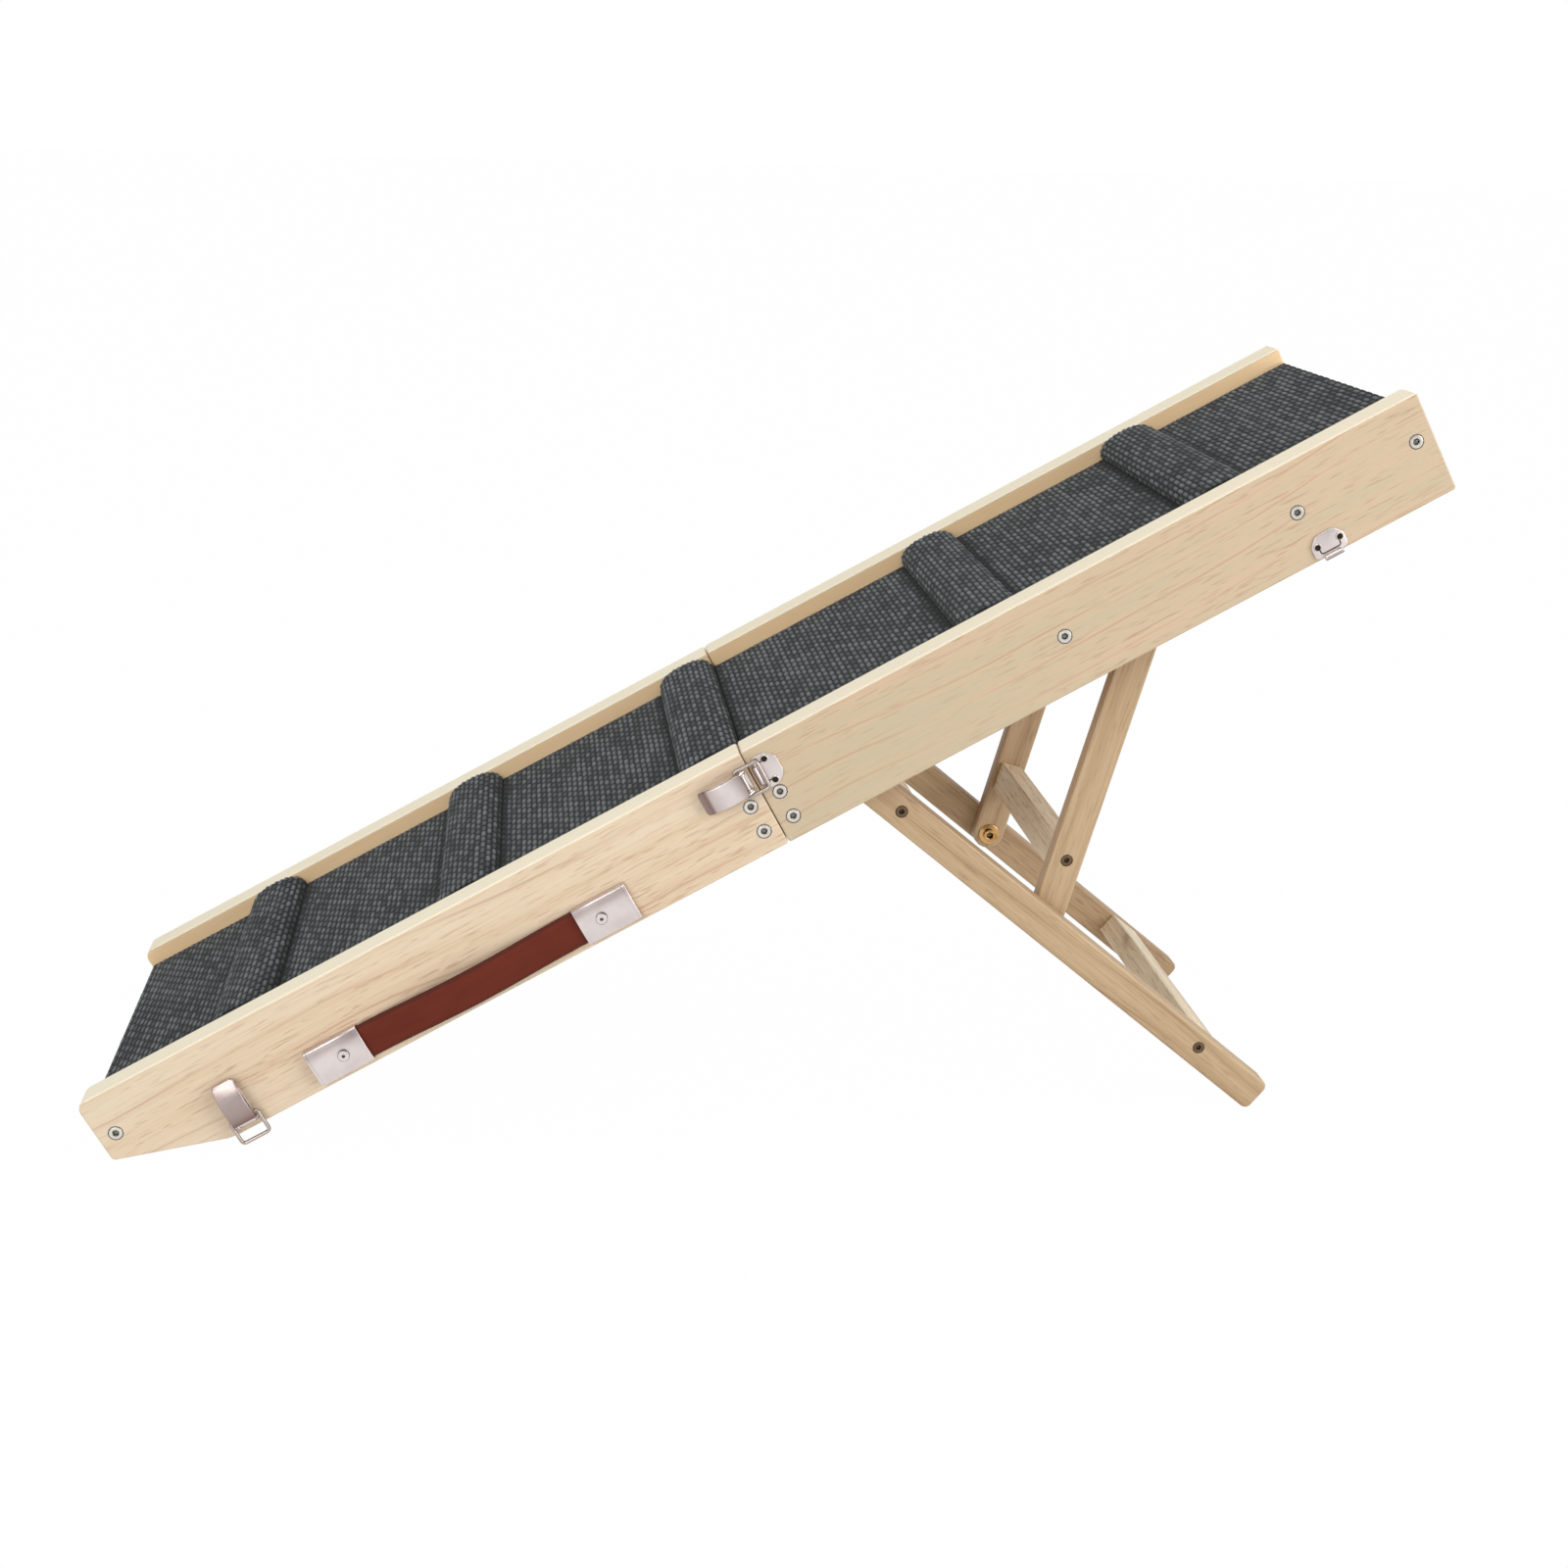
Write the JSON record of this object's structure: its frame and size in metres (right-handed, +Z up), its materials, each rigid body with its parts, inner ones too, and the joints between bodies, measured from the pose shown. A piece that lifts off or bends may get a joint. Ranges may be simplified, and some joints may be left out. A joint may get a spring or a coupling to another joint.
{
  "type": "folding dog ramp",
  "caption": "Folding wooden pet ramp with a carpeted deck, cleats, a folding leg and strut frame, draw latches and a carrying strap.",
  "frame": {"origin": "middle of the box that the ramp's opened shape fills, on the floor it stands on", "axes": "+X towards the raised end, level; +Z up; the handle is on the -Y side"},
  "size_m": [0.9084, 0.31, 0.5199],
  "materials": {
    "board_wood": "satin lacquered pine",
    "frame_wood": "satin lacquered pine",
    "plywood": "matt plywood",
    "carpet": "charcoal loop pile",
    "leather": "smooth stitched leather",
    "nickel": "satin nickel",
    "brass_bolt": "yellow passivated"
  },
  "bodies": {
    "upper_section": {"centre_catch_far": "nickel", "centre_catch_near": "nickel", "cleat_4": "carpet", "cleat_5": "carpet", "end_catch_far": "nickel", "end_catch_near": "nickel", "hinge_leaf_upper_far": "nickel", "hinge_leaf_upper_near": "nickel", "leg_pivot_bolt_far": "brass_bolt", "leg_pivot_bolt_near": "brass_bolt", "mid_cross_bar_1": "board_wood", "mid_cross_bar_2": "board_wood", "notch_rack_far": "board_wood", "notch_rack_near": "board_wood", "upper_carpet": "carpet", "upper_deck_panel": "plywood", "upper_end_bar": "board_wood", "upper_joint_bar": "board_wood", "upper_side_board_far": "board_wood", "upper_side_board_near": "board_wood"},
    "lower_section": {"centre_latch_far_base": "nickel", "centre_latch_near_base": "nickel", "cleat_1": "carpet", "cleat_2": "carpet", "cleat_3": "carpet", "end_latch_far_base": "nickel", "end_latch_near_base": "nickel", "handle_cap_lower": "nickel", "handle_cap_upper": "nickel", "handle_screw_lower": "nickel", "handle_screw_upper": "nickel", "handle_strap": "leather", "hinge_leaf_lower_far": "nickel", "hinge_leaf_lower_near": "nickel", "hinge_pin_far": "nickel", "hinge_pin_near": "nickel", "lower_carpet": "carpet", "lower_deck_panel": "plywood", "lower_end_bar": "board_wood", "lower_joint_bar": "board_wood", "lower_side_board_far": "board_wood", "lower_side_board_near": "board_wood"},
    "leg_frame": {"leg_far": "frame_wood", "leg_lower_cross_bar": "frame_wood", "leg_near": "frame_wood", "leg_upper_cross_bar": "frame_wood", "strut_pivot_bolt_far": "brass_bolt", "strut_pivot_bolt_near": "brass_bolt"},
    "strut_frame": {"prop_bar": "frame_wood", "strut_cross_bar": "frame_wood", "strut_far": "frame_wood", "strut_near": "frame_wood"},
    "centre_latch_near_lever": {"centre_latch_near_lever": "nickel"},
    "centre_latch_near_bail": {"centre_latch_near_bail": "nickel"},
    "centre_latch_far_lever": {"centre_latch_far_lever": "nickel"},
    "centre_latch_far_bail": {"centre_latch_far_bail": "nickel"},
    "end_latch_near_lever": {"end_latch_near_lever": "nickel"},
    "end_latch_near_bail": {"end_latch_near_bail": "nickel"},
    "end_latch_far_lever": {"end_latch_far_lever": "nickel"},
    "end_latch_far_bail": {"end_latch_far_bail": "nickel"}
  },
  "joints": [
    {"name": "section_fold", "type": "hinge", "parent": "upper_section", "child": "lower_section", "pos_m": [0.01655, 0, 0.21684], "axis": [0, -1, 0], "range_deg": [0, 180]},
    {"name": "leg_fold", "type": "hinge", "parent": "upper_section", "child": "leg_frame", "pos_m": [0.05264, 0, 0.26544], "axis": [0, -1, 0], "range_deg": [0, 59.95]},
    {"name": "strut_fold", "type": "hinge", "parent": "leg_frame", "child": "strut_frame", "pos_m": [0.20574, 0, 0.13926], "axis": [0, 1, 0], "range_deg": [0, 103.05]},
    {"name": "centre_latch_near_lever_turn", "type": "hinge", "parent": "lower_section", "child": "centre_latch_near_lever", "pos_m": [-0.01441, -0.1496, 0.26088], "axis": [-0.4803, 0, 0.8771], "range_deg": [0, 120]},
    {"name": "centre_latch_near_bail_turn", "type": "hinge", "parent": "centre_latch_near_lever", "child": "centre_latch_near_bail", "pos_m": [-0.01792, -0.1496, 0.25896], "axis": [-0.4803, 0, 0.8771], "range_deg": [-145, 0]},
    {"name": "centre_latch_far_lever_turn", "type": "hinge", "parent": "lower_section", "child": "centre_latch_far_lever", "pos_m": [-0.01441, 0.1496, 0.26088], "axis": [0.4803, 0, -0.8771], "range_deg": [0, 120]},
    {"name": "centre_latch_far_bail_turn", "type": "hinge", "parent": "centre_latch_far_lever", "child": "centre_latch_far_bail", "pos_m": [-0.01792, 0.1496, 0.25896], "axis": [0.4803, 0, -0.8771], "range_deg": [-145, 0]},
    {"name": "end_latch_near_lever_turn", "type": "hinge", "parent": "lower_section", "child": "end_latch_near_lever", "pos_m": [-0.34515, -0.1496, 0.02789], "axis": [0.8771, 0, 0.4803], "range_deg": [0, 120]},
    {"name": "end_latch_near_bail_turn", "type": "hinge", "parent": "end_latch_near_lever", "child": "end_latch_near_bail", "pos_m": [-0.34708, -0.1496, 0.0314], "axis": [0.8771, 0, 0.4803], "range_deg": [-145, 0]},
    {"name": "end_latch_far_lever_turn", "type": "hinge", "parent": "lower_section", "child": "end_latch_far_lever", "pos_m": [-0.34515, 0.1496, 0.02789], "axis": [-0.8771, 0, -0.4803], "range_deg": [0, 120]},
    {"name": "end_latch_far_bail_turn", "type": "hinge", "parent": "end_latch_far_lever", "child": "end_latch_far_bail", "pos_m": [-0.34708, 0.1496, 0.0314], "axis": [-0.8771, 0, -0.4803], "range_deg": [-145, 0]}
  ],
  "couplings": [
    {"joint": "leg_fold", "follows": "section_fold", "ratio": 0.33278},
    {"joint": "strut_fold", "follows": "section_fold", "ratio": 0.57222},
    {"joint": "centre_latch_near_bail_turn", "follows": "centre_latch_near_lever_turn", "ratio": -1},
    {"joint": "centre_latch_far_bail_turn", "follows": "centre_latch_far_lever_turn", "ratio": -1},
    {"joint": "end_latch_near_bail_turn", "follows": "end_latch_near_lever_turn", "ratio": -1},
    {"joint": "end_latch_far_bail_turn", "follows": "end_latch_far_lever_turn", "ratio": -1}
  ]
}
